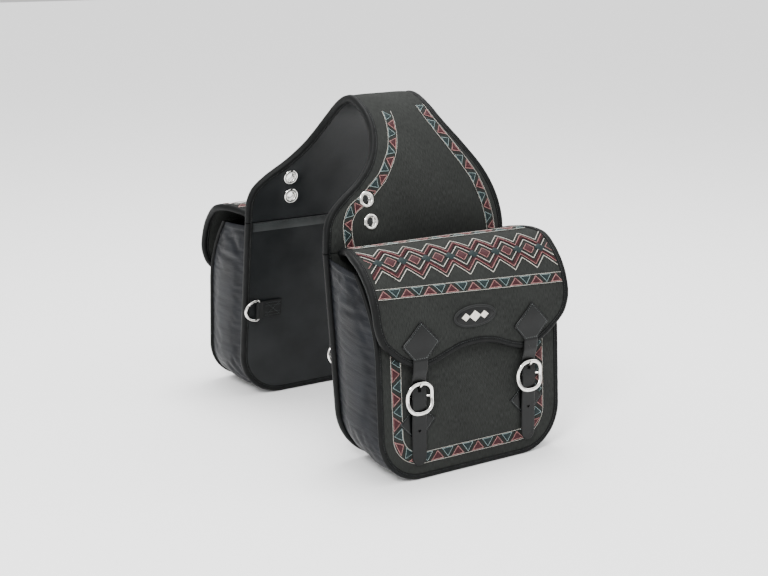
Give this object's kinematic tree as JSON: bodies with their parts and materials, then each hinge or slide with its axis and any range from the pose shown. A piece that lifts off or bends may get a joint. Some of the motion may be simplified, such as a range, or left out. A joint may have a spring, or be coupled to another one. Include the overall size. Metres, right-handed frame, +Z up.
{
  "type": "saddle bags",
  "caption": "Padded equestrian saddle bags: flap-covered pockets closed by buckled straps, hung from an arched yoke with tie holes, for lying across a saddle.",
  "frame": {"origin": "on the floor, under the middle of the yoke", "axes": "+Z up, +X across the pockets' fronts towards their right-hand straps as the near pocket is seen, +Y from the near pocket to the far one"},
  "size_m": [0.296, 0.5106, 0.4525],
  "materials": {
    "canvas": "coarse woven, matte",
    "vinyl": "smooth coated, satin",
    "foam": "foam",
    "binding_tape": "flat folded tape",
    "leather": "grained, semi-gloss",
    "webbing": "ribbed webbing",
    "badge_patch": "satin",
    "nickel": "polished"
  },
  "bodies": {
    "bag": {"yoke_cover": "canvas", "yoke_lining": "vinyl", "yoke_padding": "foam", "yoke_binding_front": "binding_tape", "yoke_binding_rear": "binding_tape", "near_upper_grommet": "nickel", "near_upper_washer": "nickel", "near_lower_grommet": "nickel", "near_lower_washer": "nickel", "near_back_panel": "canvas", "near_back_lining": "vinyl", "near_back_binding": "binding_tape", "near_front_panel": "canvas", "near_front_binding": "binding_tape", "near_gusset": "vinyl", "near_flap": "canvas", "near_flap_binding": "binding_tape", "near_badge": "badge_patch", "near_d_ring_tab": "webbing", "near_strap_left": "leather", "near_chape_left": "leather", "near_strap_right": "leather", "near_chape_right": "leather", "far_upper_grommet": "nickel", "far_upper_washer": "nickel", "far_lower_grommet": "nickel", "far_lower_washer": "nickel", "far_back_panel": "canvas", "far_back_lining": "vinyl", "far_back_binding": "binding_tape", "far_front_panel": "canvas", "far_front_binding": "binding_tape", "far_gusset": "vinyl", "far_flap": "canvas", "far_flap_binding": "binding_tape", "far_badge": "badge_patch", "far_d_ring_tab": "webbing", "far_strap_left": "leather", "far_chape_left": "leather", "far_strap_right": "leather", "far_chape_right": "leather"},
    "near_left_buckle": {"near_buckle_left_frame": "nickel"},
    "near_left_prong": {"near_tongue_left": "nickel"},
    "near_right_buckle": {"near_buckle_right_frame": "nickel"},
    "near_right_prong": {"near_tongue_right": "nickel"},
    "near_ring": {"near_d_ring": "nickel"},
    "far_left_buckle": {"far_buckle_left_frame": "nickel"},
    "far_left_prong": {"far_tongue_left": "nickel"},
    "far_right_buckle": {"far_buckle_right_frame": "nickel"},
    "far_right_prong": {"far_tongue_right": "nickel"},
    "far_ring": {"far_d_ring": "nickel"}
  },
  "joints": [
    {"name": "near_left_buckle_swing", "type": "hinge", "parent": "bag", "child": "near_left_buckle", "pos_m": [-0.085, -0.24463, 0.108], "axis": [1, 0, 0], "range_deg": [-3, 4]},
    {"name": "near_left_prong_swing", "type": "hinge", "parent": "near_left_buckle", "child": "near_left_prong", "pos_m": [-0.085, -0.24463, 0.108], "axis": [1, 0, 0], "range_deg": [0, 12]},
    {"name": "near_right_buckle_swing", "type": "hinge", "parent": "bag", "child": "near_right_buckle", "pos_m": [0.085, -0.24463, 0.108], "axis": [1, 0, 0], "range_deg": [-3, 4]},
    {"name": "near_right_prong_swing", "type": "hinge", "parent": "near_right_buckle", "child": "near_right_prong", "pos_m": [0.085, -0.24463, 0.108], "axis": [1, 0, 0], "range_deg": [0, 12]},
    {"name": "near_ring_swing", "type": "hinge", "parent": "bag", "child": "near_ring", "pos_m": [-0.119, -0.11966, 0.137], "axis": [0, -0.1349, -0.9909], "range_deg": [0, 160]},
    {"name": "far_left_buckle_swing", "type": "hinge", "parent": "bag", "child": "far_left_buckle", "pos_m": [-0.085, 0.24463, 0.108], "axis": [-1, 0, 0], "range_deg": [-3, 4]},
    {"name": "far_left_prong_swing", "type": "hinge", "parent": "far_left_buckle", "child": "far_left_prong", "pos_m": [-0.085, 0.24463, 0.108], "axis": [-1, 0, 0], "range_deg": [0, 12]},
    {"name": "far_right_buckle_swing", "type": "hinge", "parent": "bag", "child": "far_right_buckle", "pos_m": [0.085, 0.24463, 0.108], "axis": [-1, 0, 0], "range_deg": [-3, 4]},
    {"name": "far_right_prong_swing", "type": "hinge", "parent": "far_right_buckle", "child": "far_right_prong", "pos_m": [0.085, 0.24463, 0.108], "axis": [-1, 0, 0], "range_deg": [0, 12]},
    {"name": "far_ring_swing", "type": "hinge", "parent": "bag", "child": "far_ring", "pos_m": [-0.119, 0.11966, 0.137], "axis": [0, -0.1349, 0.9909], "range_deg": [0, 160]}
  ]
}
